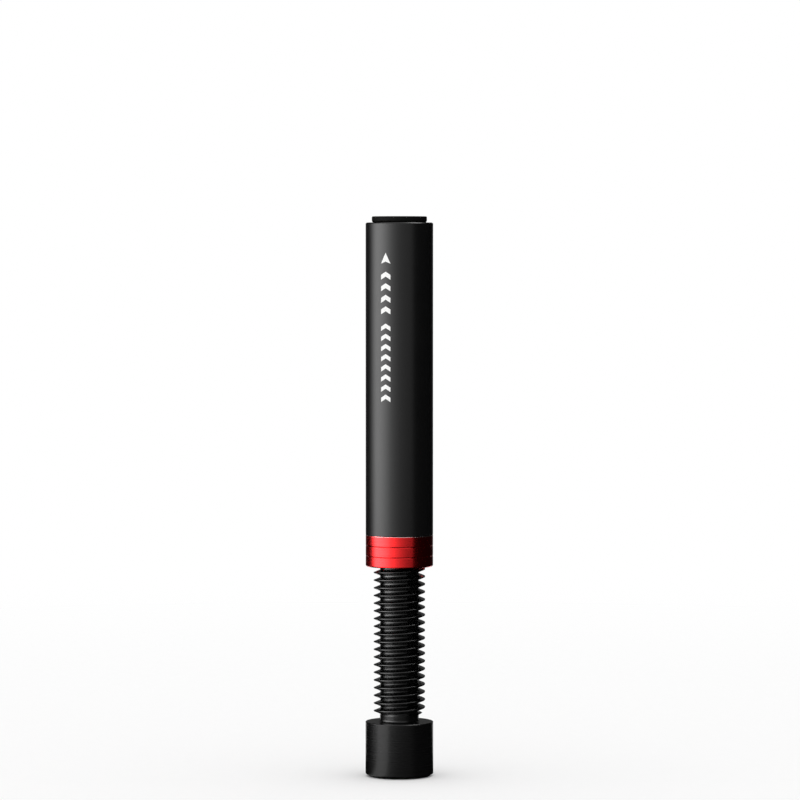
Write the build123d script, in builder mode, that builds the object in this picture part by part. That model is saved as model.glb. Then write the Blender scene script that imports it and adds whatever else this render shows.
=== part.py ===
from build123d import *

import math
import os

# Screw-jack support bracket: a barrel that winds up and down on a threaded foot.
# Millimetres, +Z up, the axis of the bracket on Z and its rubber foot pad on Z = 0.
# The barrel is drawn wound up to the height shown, with the lock ring tight under it.

# Driving dimensions
thread_dia = 10.0  # over the crests
thread_depth = 1.25
pitch = 1.5
wall = 1.45  # of the barrel and the lock ring, outside the thread
barrel_length = 60.7
ring_height = 6.1
foot_height = 10.2
foot_overhang = 0.05  # foot beyond the barrel, all round
exposed_screw = 30.3  # foot to lock ring
engaged_screw = 20.0  # screw inside the barrel at the height shown
neck_height = 1.3
neck_step = 0.05  # neck proud of the thread's root
tip_margin = 1.2  # barrel edge left round the rubber tip
tip_height = 1.2
stem_dia = 5.9
stem_length = 4.2
stem_hole_spare = 0.3  # hole deeper than the stem
end_wall = 9.7  # barrel metal above the straight bore
foot_rim = 0.6  # metal left round the foot pad
foot_pad_thickness = 0.9
foot_pad_proud = 0.4
magnet_ledge = 1.0  # foot pad bonded to metal round the magnet
magnet_height = 3.0

# Fits
thread_clearance = 0.10  # radial, crests to bore
stem_clearance = 0.05  # radial, the tip turns on its stem
pocket_clearance = 0.05  # radial, pad and magnet in the foot

# Edges
edge_break = 0.2
seam_break = 0.1  # where ring and barrel meet
foot_edge = 0.1
neck_fillet = 0.4
mouth_share = 0.36  # of the wall, at the mouths of the tapped bores
ring_edge_share = 0.14  # of the wall, round the ring's lower edge
screw_end_chamfer = 1.0
thread_run_out = 0.6  # height in which the thread fades into the neck
tip_edge = 0.2  # chamfer round the tip's upper edge
tip_under = 0.4  # rounding of its lower edge, in two bevels
groove_width = 0.24  # the ring's two turned lines
groove_depth = 0.06
drill_point = 118.0  # degrees, the end of the drilled bore
chord_angle = 18.0  # degrees, one straight step of the thread's helix

# Levels up the axis
foot_bottom = foot_pad_proud
foot_top = foot_bottom + foot_height
thread_start = foot_top + neck_height
ring_bottom = foot_top + exposed_screw
barrel_bottom = ring_bottom + ring_height
screw_top = barrel_bottom + engaged_screw
barrel_top = barrel_bottom + barrel_length
bore_top = barrel_top - end_wall
tip_top = barrel_top + tip_height
stem_end = barrel_top - stem_length
stem_hole_end = stem_end - stem_hole_spare

# Radii
thread_r = thread_dia / 2
root_r = thread_r - thread_depth
neck_r = root_r + neck_step
bore_r = thread_r + thread_clearance
body_r = bore_r + wall
foot_r = body_r + foot_overhang
mouth_chamfer = mouth_share * wall
ring_edge = ring_edge_share * wall
under_bevel = tip_under * (1 - math.sqrt(0.5))  # middle point of the rounding, in from the corner
tip_r = body_r - tip_margin
stem_r = stem_dia / 2
foot_pad_r = foot_r - foot_rim
magnet_r = foot_pad_r - magnet_ledge
pad_seat = foot_bottom + foot_pad_thickness - foot_pad_proud
magnet_top = pad_seat + magnet_height


def rims(piece, radius, z):
    """The circular edges of a turned piece at one radius and level."""
    circles = piece.edges().filter_by(GeomType.CIRCLE)
    return [e for e in circles if math.isclose(e.radius, radius) and abs(e.center().Z - z) < 1e-6]


def crest_radius(z):
    """Radius of the thread's crest, which fades out at the neck and under the end chamfer."""
    run_out = root_r + (z - thread_start) * thread_depth / thread_run_out
    chamfered = thread_r - (z - (screw_top - screw_end_chamfer))
    return max(root_r, min(thread_r, run_out, chamfered))


def threaded_rod():
    """Right-handed V thread round a solid core, longer than the rod at both ends.

    The root and the crest are helices drawn in equal chords. One flank joins each turn of the root to
    the crest, another the crest to the next turn of the root, and fans to the axis close both ends.
    """
    steps = round(360 / chord_angle)
    start = thread_start - 1.5 * pitch
    count = steps * math.ceil((screw_top - start) / pitch + 1)

    def on_helix(radius, step, z):
        return Vector(radius, 0, z).rotate(Axis.Z, step * 360 / steps)

    def flank(lower, upper):
        """Flat triangles, two for each chord, between two helices."""
        chords = list(zip(lower, lower[1:], upper[1:], upper))
        return [(a, b, c) for a, b, c, d in chords] + [(a, c, d) for a, b, c, d in chords]

    root = [on_helix(root_r, n, start + n * pitch / steps) for n in range(count + steps + 1)]
    crest_levels = [start + pitch / 2 + n * pitch / steps for n in range(count + 1)]
    crest = [on_helix(crest_radius(z), n, z) for n, z in enumerate(crest_levels)]
    outlines = flank(root[: count + 1], crest) + flank(crest, root[steps:])
    for first, end in ((0, root[0]), (count, root[-1])):
        turn = root[first : first + steps + 1]
        middle = Vector(0, 0, end.Z)
        outlines += [(middle, a, b) for a, b in zip(turn, turn[1:])]
        outlines.append((middle, turn[0], crest[first], turn[-1]))
    return Solid(Shell([Face(Wire.make_polygon(outline)) for outline in outlines]))


# Foot and threaded rod, turned as one piece
with BuildPart() as foot_screw:
    with BuildSketch(Plane.XZ):
        with BuildLine():
            Polyline(
                (0, magnet_top),
                (magnet_r + pocket_clearance, magnet_top),
                (magnet_r + pocket_clearance, pad_seat),
                (foot_pad_r + pocket_clearance, pad_seat),
                (foot_pad_r + pocket_clearance, foot_bottom),
                (foot_r, foot_bottom),
                (foot_r, foot_top),
                (neck_r, foot_top),
                (neck_r, thread_start),
                (0, thread_start),
                close=True,
            )
        make_face()
    revolve(axis=Axis.Z)
    chamfer(rims(foot_screw, foot_r, foot_bottom), foot_edge)
    chamfer(rims(foot_screw, foot_r, foot_top), foot_edge)
    fillet(rims(foot_screw, neck_r, foot_top), neck_fillet)
    add(threaded_rod())
    split(bisect_by=Plane.XY.offset(screw_top), keep=Keep.BOTTOM)
foot_screw.part.label = "foot_screw"

# Disc magnet in its pocket under the foot
with BuildPart(Plane.XY.offset(pad_seat)) as foot_magnet:
    Cylinder(magnet_r, magnet_height, align=(Align.CENTER, Align.CENTER, Align.MIN))
    chamfer(rims(foot_magnet, magnet_r, pad_seat), edge_break)
    chamfer(rims(foot_magnet, magnet_r, magnet_top), edge_break)
foot_magnet.part.label = "foot_magnet"

# Non-slip disc that covers the magnet and stands a little proud of the foot
with BuildPart() as foot_pad:
    Cylinder(foot_pad_r, foot_pad_thickness, align=(Align.CENTER, Align.CENTER, Align.MIN))
foot_pad.part.label = "foot_pad"

# Lock ring: a turned nut with two fine lines round it
with BuildPart() as lock_ring:
    with BuildSketch(Plane.XZ):
        with Locations(((bore_r + body_r) / 2, ring_bottom)):
            Rectangle(wall, ring_height, align=(Align.CENTER, Align.MIN))
    revolve(axis=Axis.Z)
    chamfer(rims(lock_ring, body_r, ring_bottom), ring_edge)
    chamfer(rims(lock_ring, body_r, barrel_bottom), seam_break)
    chamfer(rims(lock_ring, bore_r, ring_bottom), mouth_chamfer)
    chamfer(rims(lock_ring, bore_r, barrel_bottom), mouth_chamfer)
    for line in (1, 2):
        with BuildSketch(Plane.XZ):
            with Locations((body_r, ring_bottom + line * ring_height / 3)):
                Polygon(
                    (-groove_depth, 0),
                    (groove_depth, -groove_width),
                    (groove_depth, groove_width),
                    align=None,
                )
        revolve(axis=Axis.Z, mode=Mode.SUBTRACT)
lock_ring.part.label = "lock_ring"

# Barrel: bored from below to a drill point, with a small hole on top for the tip's stem
with BuildPart() as barrel:
    with BuildSketch(Plane.XZ):
        with BuildLine():
            Polyline(
                (0, bore_top + bore_r / math.tan(math.radians(drill_point / 2))),
                (bore_r, bore_top),
                (bore_r, barrel_bottom),
                (body_r, barrel_bottom),
                (body_r, barrel_top),
                (stem_r + stem_clearance, barrel_top),
                (stem_r + stem_clearance, stem_hole_end),
                (0, stem_hole_end),
                close=True,
            )
        make_face()
    revolve(axis=Axis.Z)
    chamfer(rims(barrel, body_r, barrel_bottom), seam_break)
    chamfer(rims(barrel, body_r, barrel_top), edge_break)
    chamfer(rims(barrel, bore_r, barrel_bottom), mouth_chamfer)
barrel.part.label = "barrel"

# Rubber tip: a moulded button on a stem that pushes into the barrel
with BuildPart() as rubber_tip:
    with BuildSketch(Plane.XZ):
        with BuildLine():
            Polyline(
                (0, stem_end),
                (stem_r, stem_end),
                (stem_r, barrel_top),
                (tip_r - tip_under, barrel_top),
                (tip_r - under_bevel, barrel_top + under_bevel),
                (tip_r, barrel_top + tip_under),
                (tip_r, tip_top),
                (0, tip_top),
                close=True,
            )
        make_face()
    revolve(axis=Axis.Z)
    chamfer(rims(rubber_tip, tip_r, tip_top), tip_edge)
    chamfer(rims(rubber_tip, stem_r, stem_end), edge_break)
rubber_tip.part.label = "rubber_tip"

os.makedirs("parts", exist_ok=True)
export_step(foot_screw.part, "parts/foot_screw.step")
export_step(foot_magnet.part, "parts/foot_magnet.step")
export_step(foot_pad.part, "parts/foot_pad.step")
export_step(lock_ring.part, "parts/lock_ring.step")
export_step(barrel.part, "parts/barrel.step")
export_step(rubber_tip.part, "parts/rubber_tip.step")
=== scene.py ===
import math

import bmesh
import bpy
import numpy as np
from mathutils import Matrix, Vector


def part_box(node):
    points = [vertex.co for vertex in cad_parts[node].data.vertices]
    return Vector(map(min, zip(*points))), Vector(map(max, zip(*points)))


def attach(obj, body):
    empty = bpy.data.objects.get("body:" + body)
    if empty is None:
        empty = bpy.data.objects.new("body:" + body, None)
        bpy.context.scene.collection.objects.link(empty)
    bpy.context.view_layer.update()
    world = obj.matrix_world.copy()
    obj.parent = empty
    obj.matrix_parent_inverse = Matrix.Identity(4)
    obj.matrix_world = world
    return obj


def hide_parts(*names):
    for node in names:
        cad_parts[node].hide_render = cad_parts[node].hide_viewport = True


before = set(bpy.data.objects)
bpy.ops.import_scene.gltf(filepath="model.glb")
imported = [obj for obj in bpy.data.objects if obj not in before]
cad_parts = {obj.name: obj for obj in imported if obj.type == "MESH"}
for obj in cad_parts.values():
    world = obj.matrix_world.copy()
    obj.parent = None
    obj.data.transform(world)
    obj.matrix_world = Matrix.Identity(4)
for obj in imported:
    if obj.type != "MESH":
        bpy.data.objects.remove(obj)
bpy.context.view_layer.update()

# Sizes, in metres
MM = 0.001
CREST_RADIUS = 5.0 * MM
ROOT_RADIUS = 3.75 * MM
NECK_RADIUS = 3.8 * MM
PITCH = 1.5 * MM
CREST_FLAT = 0.13  # shares of the pitch
ROOT_FLAT = 0.20
LEFT_CREST = 39.65 * MM  # height of the crest below the lock ring, on the left
RUN_OUT = 0.6 * MM  # the thread's fade into the plain neck
ROD_END_CHAMFER = CREST_RADIUS - ROOT_RADIUS
BORE_RADIUS = 5.1 * MM
BORE_END = 9.7 * MM  # barrel metal above the straight bore
DRILL_POINT = math.radians(118.0)
STEM_HOLE_RADIUS = 3.0 * MM
STEM_HOLE_DEPTH = 4.5 * MM
STEM_RADIUS = 2.95 * MM
FOOT_HEIGHT = 10.2 * MM
NECK_HEIGHT = 1.3 * MM
NECK_FILLET = 0.4 * MM
FOOT_EDGE = 0.1 * MM
EDGE_BREAK = 0.2 * MM
SEAM_BREAK = 0.1 * MM  # of the barrel where it meets the lock ring
RING_TOP_EDGE = 0.1 * MM
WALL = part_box("lock_ring")[1].x - BORE_RADIUS
MOUTH = 0.36 * WALL  # chamfer at the mouths of the bores
RING_EDGE = 0.14 * WALL
TIP_EDGE = 0.2 * MM
TIP_UNDER = 0.4 * MM
GROOVE_HALF_WIDTH = 0.12 * MM
GROOVE_DEPTH = 0.06 * MM
POCKET_CLEARANCE = 0.05 * MM
CRISP = 0.04 * MM  # radius of a deburred edge
HOLD = 0.08 * MM  # straight kept flat beside a rounded corner
HOLD_SHARE = 0.3  # the most of a straight that this takes
WELD = 0.0001 * MM  # points nearer than this are one

# Steps of the grids
AROUND = 192
ARC_STEPS = 4
THREAD_AROUND = 96
FLANK_STEPS = 7
FLAT_STEPS = 2
SPARE_TURNS = 3  # of the thread's strip, wound past its two ends and cut off there


def section(corners, closed=False):
    """Line of a turned section in which each corner is an arc tangent to both its sides.

    Corners are rows of (distance from the axis, height, corner radius). The arc's centre lies on
    the corner's bisector, at radius / sin(half angle), and its ends at radius / tan(half angle).
    Points between are sums of the two arms from the centre to those ends, weighted by the sines
    of the angles still to go and gone, over the sine of the sweep. One point is kept on the
    straight before and after each arc, so that flats shade flat. An open line keeps its two end
    points as they are.
    """
    corners = np.array(corners, float)
    rounded = slice(None) if closed else slice(1, -1)
    point = corners[rounded, :2]
    radius = corners[rounded, 2:3]
    to_before = np.roll(corners, 1, axis=0)[rounded, :2] - point
    to_after = np.roll(corners, -1, axis=0)[rounded, :2] - point
    before_length = np.linalg.norm(to_before, axis=1, keepdims=True)
    after_length = np.linalg.norm(to_after, axis=1, keepdims=True)
    to_before = to_before / before_length
    to_after = to_after / after_length
    half = np.arccos(np.sum(to_before * to_after, axis=1, keepdims=True)) / 2
    reach = radius / np.tan(half)
    bisector = to_before + to_after
    bisector = bisector / np.linalg.norm(bisector, axis=1, keepdims=True)
    centre = point + bisector * radius / np.sin(half)
    first = (point + to_before * reach - centre)[:, None, :]
    last = (point + to_after * reach - centre)[:, None, :]
    sweep = (math.pi - 2 * half)[:, None, :]
    share = np.linspace(0, 1, ARC_STEPS + 1)[None, :, None]
    swung = np.sin((1 - share) * sweep) * first + np.sin(share * sweep) * last
    arc = centre[:, None, :] + swung / np.sin(sweep)
    hold_before = point + to_before * (reach + np.minimum(HOLD, HOLD_SHARE * before_length))
    hold_after = point + to_after * (reach + np.minimum(HOLD, HOLD_SHARE * after_length))
    line = np.concatenate([hold_before[:, None, :], arc, hold_after[:, None, :]], axis=1)
    line = line.reshape(-1, 2)
    if closed:
        return line
    return np.concatenate([corners[:1, :2], line, corners[-1:, :2]])


def turned(line, around=AROUND, closed=False):
    """Vertices and quads of a section line turned about Z: x = r cos a, y = r sin a, z = h.

    A closed line makes a ring. Where an open one starts or ends on the axis, that row is a pole,
    which welding makes one point.
    """
    angle = np.arange(around) * (2 * math.pi / around)
    radius, height = np.array(line, float).T[:, :, None]
    grid = np.stack(np.broadcast_arrays(radius * np.cos(angle), radius * np.sin(angle), height), axis=-1)
    index = np.arange(len(line) * around).reshape(len(line), around)
    lower = index if closed else index[:-1]
    upper = np.roll(index, -1, axis=0) if closed else index[1:]
    quads = np.stack([lower, np.roll(lower, -1, axis=1), np.roll(upper, -1, axis=1), upper], axis=-1)
    return grid.reshape(-1, 3), quads.reshape(-1, 4)


def helical_thread(low, high):
    """Vertices and quads of a right-handed thread between two heights, one strip wound round the rod.

    Along the strip the angle a grows and the height rises by one pitch a turn, from a start on the
    left, more than a turn too low, that puts a crest there at the given height. Across it, over one
    pitch, the radius goes root flat, rising flank, crest flat, falling flank. The last row of a turn
    is joined to the first row of the next. Both ends are cut by cones, the run-out below and the
    chamfer above, and heights stop at the two ends, where the strip closes to a circle of the root.
    """
    root_edge = ROOT_FLAT / 2
    crest_edge = (1 - CREST_FLAT) / 2
    knots = [0, root_edge, crest_edge, 1 - crest_edge, 1 - root_edge, 1]
    steps = [FLAT_STEPS, FLANK_STEPS, FLAT_STEPS, FLANK_STEPS, FLAT_STEPS]
    spans = zip(knots, knots[1:], steps)
    across = np.concatenate([np.linspace(a, b, n, endpoint=False) for a, b, n in spans])
    rise = np.clip((np.minimum(across, 1 - across) - root_edge) / (crest_edge - root_edge), 0, 1)
    turns = math.ceil((high - low) / PITCH) + SPARE_TURNS
    along = np.arange(turns * THREAD_AROUND + 1)
    angle = (along * (2 * math.pi / THREAD_AROUND))[:, None] + math.pi
    start = LEFT_CREST - PITCH / 2 - PITCH * math.ceil((LEFT_CREST - low) / PITCH + 1)
    height = start + (along / THREAD_AROUND * PITCH)[:, None] + across * PITCH
    height = np.clip(height, low, high)
    run_out = ROOT_RADIUS + (height - low) * ((CREST_RADIUS - ROOT_RADIUS) / RUN_OUT)
    chamfer = CREST_RADIUS - np.maximum(height - (high - ROD_END_CHAMFER), 0)
    radius = ROOT_RADIUS + (CREST_RADIUS - ROOT_RADIUS) * rise
    radius = np.minimum(np.minimum(radius, run_out), chamfer)
    vertices = np.stack([radius * np.cos(angle), radius * np.sin(angle), height], axis=-1)
    index = np.arange(height.size).reshape(height.shape)
    within = np.stack([index[:-1, :-1], index[1:, :-1], index[1:, 1:], index[:-1, 1:]], axis=-1)
    last = index[:, -1]
    ahead = index[:, 0]
    n = THREAD_AROUND
    between = np.stack([last[: -n - 1], last[1:-n], ahead[n + 1 :], ahead[n:-1]], axis=-1)
    quads = np.concatenate([within.reshape(-1, 4), between])
    level = height.reshape(-1)[quads]
    kept = quads[(level.max(axis=1) > low) & (level.min(axis=1) < high)]
    used, compact = np.unique(kept, return_inverse=True)
    return vertices.reshape(-1, 3)[used], compact.reshape(-1, 4)


def joined(*parts):
    """Vertices and quads of several surfaces in one."""
    firsts = np.cumsum([0] + [len(vertices) for vertices, quads in parts])
    vertices = np.concatenate([vertices for vertices, quads in parts])
    return vertices, np.concatenate([quads + first for (_, quads), first in zip(parts, firsts)])


def weld(mesh):
    """Makes points at the same place one, which closes the poles and the joins between surfaces."""
    work = bmesh.new()
    work.from_mesh(mesh)
    bmesh.ops.remove_doubles(work, verts=work.verts, dist=WELD)
    work.to_mesh(mesh)
    work.free()


def piece(name, surface, material, body, node):
    """Object of a surface, welded and smooth, that rides on a body and stands for a CAD node."""
    mesh = bpy.data.meshes.new(name)
    vertices, quads = surface
    mesh.from_pydata(vertices.tolist(), [], quads.tolist())
    weld(mesh)
    mesh.shade_smooth()
    mesh.materials.append(material)
    obj = bpy.data.objects.new(name, mesh)
    bpy.context.scene.collection.objects.link(obj)
    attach(obj, body)
    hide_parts(node)


# Shader helpers


def new_group(name, inputs, outputs):
    """Node group with named float inputs (with defaults) and outputs."""
    group = bpy.data.node_groups.new(name, "ShaderNodeTree")
    for label, value in inputs.items():
        socket = group.interface.new_socket(label, in_out="INPUT", socket_type="NodeSocketFloat")
        socket.default_value = value
    for label in outputs:
        group.interface.new_socket(label, in_out="OUTPUT", socket_type="NodeSocketFloat")
    source = group.nodes.new("NodeGroupInput")
    sink = group.nodes.new("NodeGroupOutput")
    return group, source, sink


def set_input(tree, socket, value):
    """Number set on a socket, or another socket linked to it."""
    if isinstance(value, bpy.types.NodeSocket):
        tree.links.new(value, socket)
    else:
        socket.default_value = value


def math_node(tree, operation, *values):
    """Output of one math node whose inputs are numbers or sockets."""
    node = tree.nodes.new("ShaderNodeMath")
    node.operation = operation
    for socket, value in zip(node.inputs, values):
        set_input(tree, socket, value)
    return node.outputs[0]


def noise_node(tree, vector, scale, detail=2.0, roughness=0.5):
    """Output of a noise texture over a vector."""
    node = tree.nodes.new("ShaderNodeTexNoise")
    node.inputs["Detail"].default_value = detail
    node.inputs["Roughness"].default_value = roughness
    tree.links.new(vector, node.inputs["Vector"])
    set_input(tree, node.inputs["Scale"], scale)
    return node.outputs["Fac"]


def object_coordinates(tree):
    """Place on the piece, in metres."""
    return tree.nodes.new("ShaderNodeTexCoord").outputs["Object"]


def split_coordinates(tree):
    """The three outputs X, Y and Z of the place on the piece."""
    node = tree.nodes.new("ShaderNodeSeparateXYZ")
    tree.links.new(object_coordinates(tree), node.inputs[0])
    return node.outputs


CLOUDS_PER_METRE = 140.0
LINE_STRETCH = 0.006  # change of a lathe line round the piece, against its change along Z


def fine_grain_group():
    """Blasted or moulded grain: a fine noise for height, and a broad one for handling marks."""
    group, source, sink = new_group("fine_grain", {"Grain per metre": 6000.0}, ["Grain", "Cloud"])
    place = object_coordinates(group)
    grain = noise_node(group, place, source.outputs["Grain per metre"], detail=3.0)
    cloud = noise_node(group, place, CLOUDS_PER_METRE, detail=4.0, roughness=0.6)
    group.links.new(grain, sink.inputs["Grain"])
    group.links.new(cloud, sink.inputs["Cloud"])
    return group


def turning_lines_group():
    """Lines left by the lathe: noise that changes along Z and hardly at all round the piece."""
    group, source, sink = new_group("turning_lines", {"Lines per metre": 4000.0}, ["Lines"])
    squeeze = group.nodes.new("ShaderNodeMapping")
    squeeze.inputs["Scale"].default_value = (LINE_STRETCH, LINE_STRETCH, 1.0)
    group.links.new(object_coordinates(group), squeeze.inputs["Vector"])
    rate = source.outputs["Lines per metre"]
    lines = noise_node(group, squeeze.outputs["Vector"], rate, detail=3.0, roughness=0.65)
    group.links.new(lines, sink.inputs["Lines"])
    return group


FINE_GRAIN = fine_grain_group()
TURNING_LINES = turning_lines_group()


def material_with_shader(name, **plain):
    """Material with a Principled shader whose plain sockets are set, and its tree."""
    material = bpy.data.materials.new(name)
    material.use_nodes = True
    shader = material.node_tree.nodes["Principled BSDF"]
    for label, value in plain.items():
        shader.inputs[label.replace("_", " ")].default_value = value
    return material, material.node_tree, shader


def place_group(tree, group, **values):
    """Outputs of a group in a material, with its own input values."""
    node = tree.nodes.new("ShaderNodeGroup")
    node.node_tree = group
    for label, value in values.items():
        node.inputs[label.replace("_", " ")].default_value = value
    return node.outputs


def spread(tree, value, low, high):
    """Value from 0..1 spread to low..high."""
    node = tree.nodes.new("ShaderNodeMapRange")
    tree.links.new(value, node.inputs["Value"])
    node.inputs["To Min"].default_value = low
    node.inputs["To Max"].default_value = high
    return node.outputs["Result"]


def shade(tree, value, first, second):
    """Colour from a first to a second one by a value; the first may be a socket."""
    node = tree.nodes.new("ShaderNodeMix")
    node.data_type = "RGBA"
    tree.links.new(value, node.inputs["Factor"])
    for label, colour in (("A", first), ("B", second)):
        set_input(tree, node.inputs[label], (*colour, 1) if isinstance(colour, tuple) else colour)
    return node.outputs["Result"]


def raise_surface(tree, shader, height, strength, distance):
    """Bump from a height."""
    node = tree.nodes.new("ShaderNodeBump")
    node.inputs["Strength"].default_value = strength
    node.inputs["Distance"].default_value = distance
    tree.links.new(height, node.inputs["Height"])
    tree.links.new(node.outputs["Normal"], shader.inputs["Normal"])


# Print on the barrel, placed by the angle left of the front and the height
PRINT_ANGLE = math.radians(-23.9)
PRINT_HALF_WIDTH = 0.98 * MM
ARROW_TIP = 101.85 * MM
ARROW_FOOT = 99.75 * MM
ARROW_NOTCH = 0.4 * MM
SHORT_ROW = (90.0 * MM, 98.2 * MM)
LONG_ROW = (73.1 * MM, 88.2 * MM)
CHEVRON_PITCH = 1.9 * MM
CHEVRON_SHARE = 0.42  # inked part of the pitch
CHEVRON_RISE = 0.6 * MM  # its middle above its ends
INK_WHITE = (0.86, 0.86, 0.85)
INK_ROUGHER = 0.15  # roughness that the ink adds


def printed_mask(tree, radius):
    """Mask of the white print: an arrowhead pointing up, over two rows of plain chevrons."""
    x, y, z = split_coordinates(tree)
    angle = math_node(tree, "ARCTAN2", x, math_node(tree, "MULTIPLY", y, -1.0))
    side = math_node(tree, "MULTIPLY", math_node(tree, "SUBTRACT", angle, PRINT_ANGLE), radius)
    side = math_node(tree, "ABSOLUTE", side)
    share = math_node(tree, "DIVIDE", side, PRINT_HALF_WIDTH)
    top = math_node(tree, "MULTIPLY_ADD", share, ARROW_FOOT - ARROW_TIP, ARROW_TIP)
    notch = math_node(tree, "MULTIPLY_ADD", share, -ARROW_NOTCH, ARROW_FOOT + ARROW_NOTCH)
    under_top = math_node(tree, "LESS_THAN", z, top)
    over_notch = math_node(tree, "GREATER_THAN", z, notch)
    mask = math_node(tree, "MULTIPLY", under_top, over_notch)
    inside = math_node(tree, "LESS_THAN", share, 1.0)
    level = math_node(tree, "MULTIPLY_ADD", share, CHEVRON_RISE, z)
    for low, high in (SHORT_ROW, LONG_ROW):
        count = round((high - low) / CHEVRON_PITCH)
        pitch = (high - low - CHEVRON_RISE) / (count - 1 + CHEVRON_SHARE)
        step = math_node(tree, "DIVIDE", math_node(tree, "SUBTRACT", level, low + CHEVRON_RISE), pitch)
        chevron = math_node(tree, "LESS_THAN", math_node(tree, "FRACT", step), CHEVRON_SHARE)
        above = math_node(tree, "GREATER_THAN", step, 0.0)
        below = math_node(tree, "LESS_THAN", step, count - 1 + CHEVRON_SHARE)
        row = math_node(tree, "MULTIPLY", chevron, math_node(tree, "MULTIPLY", above, below))
        mask = math_node(tree, "MAXIMUM", mask, math_node(tree, "MULTIPLY", row, inside))
    return mask


# Finishes: a pair of colours or roughnesses gives the two ends that a surface wanders between
BARREL_COLOURS = (0.0022, 0.0022, 0.0024), (0.0036, 0.0036, 0.0038)
BARREL_ROUGHNESS = 0.29, 0.34


def black_anodised(radius):
    """Satin black anodised aluminium, finely blasted, with white print."""
    material, tree, shader = material_with_shader("black_anodised", Specular_IOR_Level=0.375)
    grain = place_group(tree, FINE_GRAIN, Grain_per_metre=9000.0)
    black = shade(tree, grain["Cloud"], *BARREL_COLOURS)
    mask = printed_mask(tree, radius)
    tree.links.new(shade(tree, mask, black, INK_WHITE), shader.inputs["Base Color"])
    satin = spread(tree, grain["Cloud"], *BARREL_ROUGHNESS)
    roughness = math_node(tree, "MULTIPLY_ADD", mask, INK_ROUGHER, satin)
    tree.links.new(roughness, shader.inputs["Roughness"])
    raise_surface(tree, shader, grain["Grain"], strength=0.10, distance=0.03 * MM)
    return material


FOOT_COLOURS = (0.0016, 0.0016, 0.0017), (0.0026, 0.0026, 0.0027)
FOOT_ROUGHNESS = 0.23, 0.30
ROLLED_SMOOTHER = 0.05  # roughness lost where the thread is rolled
ROLLED_GLOSS = 0.4  # weight of the coat there


def black_matte_metal(thread_low):
    """Matte black anodised rod and foot, with faint lathe lines; the thread is rolled smoother."""
    material, tree, shader = material_with_shader(
        "black_matte_metal", Specular_IOR_Level=0.44, Coat_Roughness=0.15
    )
    grain = place_group(tree, FINE_GRAIN, Grain_per_metre=8000.0)
    lines = place_group(tree, TURNING_LINES, Lines_per_metre=5000.0)
    black = shade(tree, grain["Cloud"], *FOOT_COLOURS)
    tree.links.new(black, shader.inputs["Base Color"])
    rolled = math_node(tree, "GREATER_THAN", split_coordinates(tree)["Z"], thread_low)
    matte = spread(tree, lines["Lines"], *FOOT_ROUGHNESS)
    roughness = math_node(tree, "MULTIPLY_ADD", rolled, -ROLLED_SMOOTHER, matte)
    tree.links.new(roughness, shader.inputs["Roughness"])
    tree.links.new(math_node(tree, "MULTIPLY", rolled, ROLLED_GLOSS), shader.inputs["Coat Weight"])
    height = math_node(tree, "ADD", grain["Grain"], lines["Lines"])
    raise_surface(tree, shader, height, strength=0.10, distance=0.03 * MM)
    return material


BRIGHT_CUT = 0.08 * MM  # depth of the ring's upper edge that is cut bright after dyeing
BARE_METAL = (0.90, 0.89, 0.88)
RING_COLOURS = (0.80, 0.012, 0.014), (0.98, 0.028, 0.030)
RING_ROUGHNESS = 0.26, 0.20


def upper_edge_mask(tree, radius, top):
    """Mask of the outer upper edge: distance from the axis plus height, beyond a slanting cut."""
    x, y, z = split_coordinates(tree)
    y_squared = math_node(tree, "MULTIPLY", y, y)
    distance = math_node(tree, "SQRT", math_node(tree, "MULTIPLY_ADD", x, x, y_squared))
    out_and_up = math_node(tree, "ADD", distance, z)
    return math_node(tree, "GREATER_THAN", out_and_up, radius + top - BRIGHT_CUT)


def red_anodised(radius, top):
    """Bright red anodised aluminium: dyed clear layer over turned metal, bare along its upper edge."""
    material, tree, shader = material_with_shader(
        "red_anodised", Metallic=1.0, Coat_Weight=0.25, Coat_Roughness=0.2
    )
    lines = place_group(tree, TURNING_LINES, Lines_per_metre=6000.0)["Lines"]
    red = shade(tree, lines, *RING_COLOURS)
    bare = upper_edge_mask(tree, radius, top)
    tree.links.new(shade(tree, bare, red, BARE_METAL), shader.inputs["Base Color"])
    tree.links.new(spread(tree, lines, *RING_ROUGHNESS), shader.inputs["Roughness"])
    raise_surface(tree, shader, lines, strength=0.07, distance=0.04 * MM)
    return material


RUBBER_COLOURS = (0.0018, 0.0018, 0.0018), (0.0042, 0.0042, 0.0040)
RUBBER_ROUGHNESS = 0.55, 0.75


def black_rubber():
    """Soft matte rubber with a moulded grain."""
    material, tree, shader = material_with_shader("black_rubber", Specular_IOR_Level=0.06)
    grain = place_group(tree, FINE_GRAIN, Grain_per_metre=5000.0)
    black = shade(tree, grain["Cloud"], *RUBBER_COLOURS)
    tree.links.new(black, shader.inputs["Base Color"])
    tree.links.new(spread(tree, grain["Grain"], *RUBBER_ROUGHNESS), shader.inputs["Roughness"])
    raise_surface(tree, shader, grain["Grain"], strength=0.25, distance=0.04 * MM)
    return material


NICKEL_COLOURS = (0.52, 0.50, 0.46), (0.68, 0.66, 0.62)
NICKEL_ROUGHNESS = 0.18, 0.34


def nickel_plate():
    """Nickel plated magnet, slightly clouded."""
    material, tree, shader = material_with_shader("nickel_plate", Metallic=1.0)
    cloud = place_group(tree, FINE_GRAIN, Grain_per_metre=3000.0)["Cloud"]
    nickel = shade(tree, cloud, *NICKEL_COLOURS)
    tree.links.new(nickel, shader.inputs["Base Color"])
    tree.links.new(spread(tree, cloud, *NICKEL_ROUGHNESS), shader.inputs["Roughness"])
    return material


# Pieces


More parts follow.
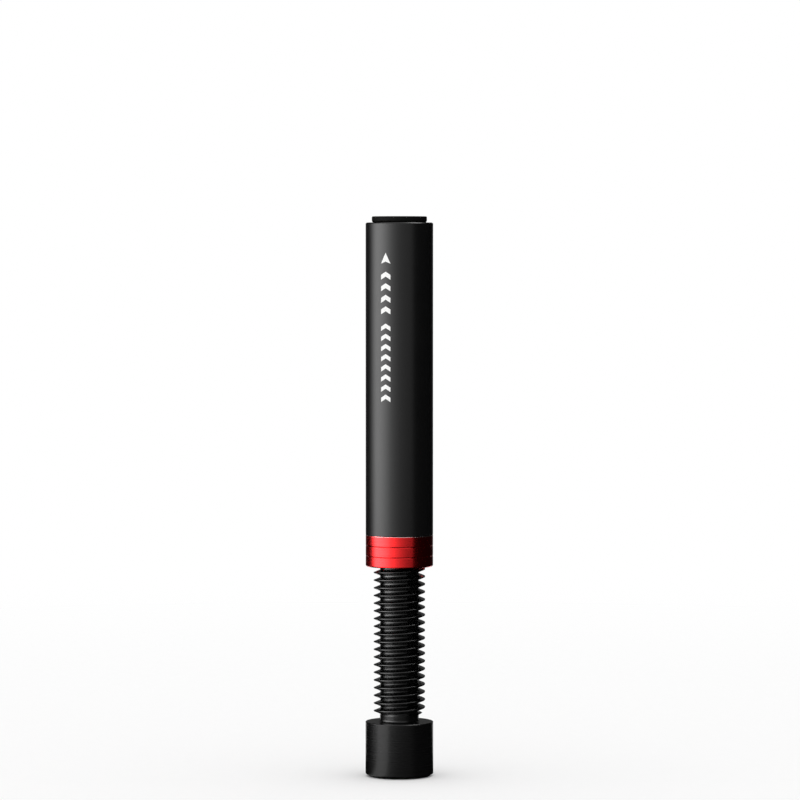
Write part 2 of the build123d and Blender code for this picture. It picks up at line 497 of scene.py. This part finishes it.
def barrel_surface():
    """Barrel: bored from below to a drill point, with the stem's hole on top."""
    low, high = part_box("barrel")
    outer, bottom, top = high.x, low.z, high.z
    bore_top = top - BORE_END
    point = bore_top + BORE_RADIUS / math.tan(DRILL_POINT / 2)
    return turned(section([
        (0, point, 0),
        (BORE_RADIUS, bore_top, CRISP),
        (BORE_RADIUS, bottom + MOUTH, CRISP),
        (BORE_RADIUS + MOUTH, bottom, CRISP),
        (outer - SEAM_BREAK, bottom, CRISP),
        (outer, bottom + SEAM_BREAK, CRISP),
        (outer, top - EDGE_BREAK, CRISP),
        (outer - EDGE_BREAK, top, CRISP),
        (STEM_HOLE_RADIUS, top, CRISP),
        (STEM_HOLE_RADIUS, top - STEM_HOLE_DEPTH, CRISP),
        (0, top - STEM_HOLE_DEPTH, 0),
    ]))


def lock_ring_surface():
    """Lock ring: broken edges, chamfered mouths, and two turned grooves at thirds of its height."""
    low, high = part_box("lock_ring")
    outer, bottom, top = high.x, low.z, high.z
    grooves = []
    for third in (1, 2):
        level = bottom + (top - bottom) * third / 3
        grooves += [
            (outer, level - GROOVE_HALF_WIDTH, CRISP),
            (outer - GROOVE_DEPTH, level, CRISP / 2),
            (outer, level + GROOVE_HALF_WIDTH, CRISP),
        ]
    return turned(section([
        (BORE_RADIUS, bottom + MOUTH, CRISP),
        (BORE_RADIUS + MOUTH, bottom, CRISP),
        (outer - RING_EDGE, bottom, CRISP),
        (outer, bottom + RING_EDGE, CRISP),
        *grooves,
        (outer, top, RING_TOP_EDGE),
        (BORE_RADIUS + MOUTH, top, CRISP),
        (BORE_RADIUS, top - MOUTH, CRISP),
    ], closed=True), closed=True)


def thread_bottom():
    """Height at which the thread starts, above the foot and its neck."""
    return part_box("foot_screw")[0].z + FOOT_HEIGHT + NECK_HEIGHT


def foot_screw_surface():
    """Foot with its pocket, plain neck, threaded rod and the rod's flat end, in one surface."""
    low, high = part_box("foot_screw")
    pad_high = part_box("foot_pad")[1]
    magnet_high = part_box("foot_magnet")[1]
    outer, bottom, rod_top = high.x, low.z, high.z
    foot_top = bottom + FOOT_HEIGHT
    neck_top = thread_bottom()
    pad_pocket = pad_high.x + POCKET_CLEARANCE
    magnet_pocket = magnet_high.x + POCKET_CLEARANCE
    foot_and_neck = section([
        (0, magnet_high.z, 0),
        (magnet_pocket, magnet_high.z, CRISP),
        (magnet_pocket, pad_high.z, CRISP),
        (pad_pocket, pad_high.z, CRISP),
        (pad_pocket, bottom, CRISP),
        (outer - FOOT_EDGE, bottom, CRISP),
        (outer, bottom + FOOT_EDGE, CRISP),
        (outer, foot_top - FOOT_EDGE, CRISP),
        (outer - FOOT_EDGE, foot_top, CRISP),
        (NECK_RADIUS, foot_top, NECK_FILLET),
        (NECK_RADIUS, neck_top, CRISP / 2),
        (ROOT_RADIUS, neck_top, 0),
    ])
    rod_end = [(ROOT_RADIUS, rod_top), (0, rod_top)]
    return joined(
        turned(foot_and_neck, THREAD_AROUND),
        helical_thread(neck_top, rod_top),
        turned(rod_end, THREAD_AROUND),
    )


def rubber_tip_surface():
    """Moulded button with rounded edges on a stem."""
    low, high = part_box("rubber_tip")
    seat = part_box("barrel")[1].z
    outer, stem_end, top = high.x, low.z, high.z
    return turned(section([
        (0, stem_end, 0),
        (STEM_RADIUS - EDGE_BREAK, stem_end, CRISP),
        (STEM_RADIUS, stem_end + EDGE_BREAK, CRISP),
        (STEM_RADIUS, seat, CRISP),
        (outer, seat, TIP_UNDER),
        (outer, top, TIP_EDGE),
        (0, top, 0),
    ]))


def foot_pad_surface():
    """Non-slip disc under the foot, its edges just off sharp."""
    low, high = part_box("foot_pad")
    outer, bottom, top = high.x, low.z, high.z
    return turned(section([
        (0, bottom, 0),
        (outer, bottom, 2 * CRISP),
        (outer, top, CRISP),
        (0, top, 0),
    ]))


barrel_finish = black_anodised(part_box("barrel")[1].x)
ring_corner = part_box("lock_ring")[1]
ring_finish = red_anodised(ring_corner.x, ring_corner.z)
screw_finish = black_matte_metal(thread_bottom())
rubber = black_rubber()
piece("barrel_tube", barrel_surface(), barrel_finish, "barrel", "barrel")
piece("lock_ring_turned", lock_ring_surface(), ring_finish, "ring", "lock_ring")
piece("threaded_foot", foot_screw_surface(), screw_finish, "base", "foot_screw")
piece("tip_button", rubber_tip_surface(), rubber, "tip", "rubber_tip")
piece("non_slip_pad", foot_pad_surface(), rubber, "base", "foot_pad")
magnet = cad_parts["foot_magnet"]
magnet.data.materials.clear()
magnet.data.materials.append(nickel_plate())

# Studio: angles go from the front to the right and round the back, and a tone says how a card glows
FLOOR_RADIUS = 0.5
FLOOR_SOLID = 0.12  # the floor fades out from here to its edge
FLOOR_DROP = 0.05 * MM
FLOOR_COLOURS = (0.97, 0.97, 0.97), (0.985, 0.985, 0.985)
FLOOR_CLOUDS_PER_METRE = 300.0
SCREEN_RADIUS = 0.62
SCREEN_LOW = -0.15
SCREEN_HIGH = 1.0
DARK_FROM = math.radians(47.0)
BACK_FROM = math.radians(150.0)
BACK_TO = math.radians(210.0)
DARK_TO = math.radians(243.0)
LIT_FROM = DARK_TO - 2 * math.pi  # here the wall begins to fade in
FULL_FROM = math.radians(-86.0)  # and here it has its full tone
DARK_TONE = 0.005
BACK_TONE = 0.10
WALL_TONE = 0.64
GLOW_ANGLE = math.radians(-76.0)
GLOW_SPREAD = math.radians(43.0)
GLOW_TONE = 5.4
GLOW_HIGH = 0.40
GLOW_FADE = 0.05  # height in which the glow goes out
TABLE_LIFT = 0.02 * MM
TABLE_NEAR = 0.15  # covers round the foot end here, and those further out begin
TABLE_FROM = math.radians(-35.0)
TABLE_TO = math.radians(263.0)
TABLE_NEAR_TO = math.radians(284.0)
TABLE_TONE = 0.55  # further out, straight in front
TABLE_FALL = math.radians(55.0)  # angle in which that tone falls by one
TABLE_PALE = 0.95
LAMP_DISTANCE = 0.5
LAMP_HEIGHT = 0.10
LAMP_ANGLE = math.radians(118.0)
LAMP_CLIMB = math.radians(62.0)
LAMP_WIDTH = 0.2
LAMP_RADIANCE = 5.0
CAMERA_HEIGHT = 101.6 * MM
CAMERA_DISTANCE = 0.738
CAMERA_RIGHT = 0.12 * MM
CAMERA_TILT = math.radians(2.2)
CAMERA_LENS = 171.0


def staged(name, mesh, material):
    """Stage object of a mesh."""
    mesh.materials.append(material)
    obj = bpy.data.objects.new(name, mesh)
    bpy.context.scene.collection.objects.link(obj)
    return obj


def pale_floor():
    """Pale disc that fades out before its edge, so that there is no horizon."""
    material, tree, shader = material_with_shader("pale_floor", Roughness=1.0, Specular_IOR_Level=0.0)
    place = object_coordinates(tree)
    distance = tree.nodes.new("ShaderNodeVectorMath")
    distance.operation = "LENGTH"
    tree.links.new(place, distance.inputs[0])
    fade = tree.nodes.new("ShaderNodeMapRange")
    fade.interpolation_type = "SMOOTHERSTEP"
    tree.links.new(distance.outputs["Value"], fade.inputs["Value"])
    fade.inputs["From Min"].default_value = FLOOR_SOLID
    fade.inputs["From Max"].default_value = FLOOR_RADIUS
    fade.inputs["To Min"].default_value = 1.0
    fade.inputs["To Max"].default_value = 0.0
    tree.links.new(fade.outputs["Result"], shader.inputs["Alpha"])
    clouds = noise_node(tree, place, FLOOR_CLOUDS_PER_METRE)
    pale = shade(tree, clouds, *FLOOR_COLOURS)
    tree.links.new(pale, shader.inputs["Base Color"])
    angle = np.arange(AROUND) * (2 * math.pi / AROUND)
    across, along = FLOOR_RADIUS * np.cos(angle), FLOOR_RADIUS * np.sin(angle)
    rim = np.stack(np.broadcast_arrays(across, along, -FLOOR_DROP), axis=-1)
    mesh = bpy.data.meshes.new("floor")
    mesh.from_pydata(rim.tolist(), [], [list(range(AROUND))])
    staged("floor", mesh, material)


def reflection_card(name, line, angles, tone):
    """Card seen only in reflections: a line of (distance, height) turned about Z between two angles.

    Its tone is one number, or a function of the angle and the height that is kept on its points.
    """
    material, tree, shader = material_with_shader(
        name, Base_Color=(0, 0, 0, 1), Roughness=1.0, Specular_IOR_Level=0.0, Emission_Strength=1.0
    )
    angle = np.linspace(*angles, AROUND)
    radius, height = np.array(line, float).T[:, :, None]
    across, along = radius * np.sin(angle), -radius * np.cos(angle)
    rows = np.stack(np.broadcast_arrays(across, along, height), axis=-1)
    index = np.arange(len(line) * AROUND).reshape(len(line), AROUND)
    quads = np.stack([index[:-1, :-1], index[:-1, 1:], index[1:, 1:], index[1:, :-1]], axis=-1)
    mesh = bpy.data.meshes.new(name)
    mesh.from_pydata(rows.reshape(-1, 3).tolist(), [], quads.reshape(-1, 4).tolist())
    if callable(tone):
        tones = np.broadcast_to(tone(angle, height), index.shape)
        values = mesh.attributes.new("tone", "FLOAT", "POINT")
        values.data.foreach_set("value", tones.astype(np.float32).ravel())
        kept = tree.nodes.new("ShaderNodeAttribute")
        kept.attribute_name = "tone"
        tree.links.new(kept.outputs["Fac"], shader.inputs["Emission Color"])
    else:
        shader.inputs["Emission Color"].default_value = (tone, tone, tone, 1)
    card = staged(name, mesh, material)
    card.visible_camera = False
    card.visible_diffuse = False
    card.visible_shadow = False
    card.visible_transmission = False


def wall_tone(angle, height):
    """Grey wall with a glow to the left, that dies away as exp(-(angle / spread) squared).

    Its left end fades in evenly from the dark cloth. Points above a height have no glow, so it goes
    out between two rows of them.
    """
    glow = GLOW_TONE * np.exp(-(((angle - GLOW_ANGLE) / GLOW_SPREAD) ** 2))
    fade_in = np.clip((angle - LIT_FROM) / (FULL_FROM - LIT_FROM), 0, 1)
    return fade_in * (WALL_TONE + glow * (height <= GLOW_HIGH))


def table_tone(angle, height):
    """Table in front, pale on the left and evenly darker towards the right."""
    return np.clip(TABLE_TONE - angle / TABLE_FALL, DARK_TONE, TABLE_PALE)


def reflection_cards():
    """Glowing wall in front, dark cloth on both sides, a dim one behind and covers on the table.

    The table stays bare on the front left and, near the foot, behind.
    """
    heights = (SCREEN_LOW, GLOW_HIGH, GLOW_HIGH + GLOW_FADE, SCREEN_HIGH)
    wall = [(SCREEN_RADIUS, height) for height in heights]
    near = [(radius, -TABLE_LIFT) for radius in (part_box("foot_pad")[1].x, TABLE_NEAR)]
    far = [(radius, -TABLE_LIFT) for radius in (TABLE_NEAR, SCREEN_RADIUS)]
    reflection_card("glowing_wall", wall, (LIT_FROM, DARK_FROM), wall_tone)
    reflection_card("dark_cloth_right", wall, (DARK_FROM, BACK_FROM), DARK_TONE)
    reflection_card("dim_cloth_behind", wall, (BACK_FROM, BACK_TO), BACK_TONE)
    reflection_card("dark_cloth_left", wall, (BACK_TO, DARK_TO), DARK_TONE)
    reflection_card("near_cover_right", near, (TABLE_FROM, BACK_FROM), DARK_TONE)
    reflection_card("near_cover_left", near, (BACK_TO, TABLE_NEAR_TO), DARK_TONE)
    reflection_card("table_cover", far, (DARK_FROM, TABLE_TO), DARK_TONE)
    reflection_card("table_cover_front", far, (TABLE_FROM, DARK_FROM), table_tone)


def white_world():
    """Even white surroundings of strength 1, in which a colour shows as it is."""
    world = bpy.data.worlds.new("white_surroundings")
    bpy.context.scene.world = world
    world.use_nodes = True
    background = world.node_tree.nodes["Background"]
    background.inputs["Color"].default_value = (1, 1, 1, 1)
    background.inputs["Strength"].default_value = 1.0


def top_lamp():
    """Soft lamp above on the right, turned towards the object, that glints on the upper edges.

    Its power is its radiance times pi times its area.
    """
    data = bpy.data.lights.new("top_lamp", "AREA")
    data.size = LAMP_WIDTH
    data.energy = LAMP_RADIANCE * math.pi * LAMP_WIDTH**2
    lamp = bpy.data.objects.new("top_lamp", data)
    away = LAMP_DISTANCE * math.cos(LAMP_CLIMB)
    up = LAMP_HEIGHT + LAMP_DISTANCE * math.sin(LAMP_CLIMB)
    lamp.location = (away * math.sin(LAMP_ANGLE), -away * math.cos(LAMP_ANGLE), up)
    lamp.rotation_euler = (math.pi / 2 - LAMP_CLIMB, 0, LAMP_ANGLE)
    lamp.visible_camera = False
    lamp.visible_diffuse = False
    bpy.context.scene.collection.objects.link(lamp)


def front_camera():
    """Camera in front, a little above the middle and tilted down."""
    data = bpy.data.cameras.new("camera")
    data.lens = CAMERA_LENS
    camera = bpy.data.objects.new("camera", data)
    camera.location = (CAMERA_RIGHT, -CAMERA_DISTANCE, CAMERA_HEIGHT)
    camera.rotation_euler = (math.pi / 2 - CAMERA_TILT, 0, 0)
    bpy.context.scene.collection.objects.link(camera)
    bpy.context.scene.camera = camera


pale_floor()
reflection_cards()
white_world()
top_lamp()
front_camera()
bpy.context.scene.view_settings.view_transform = "Standard"
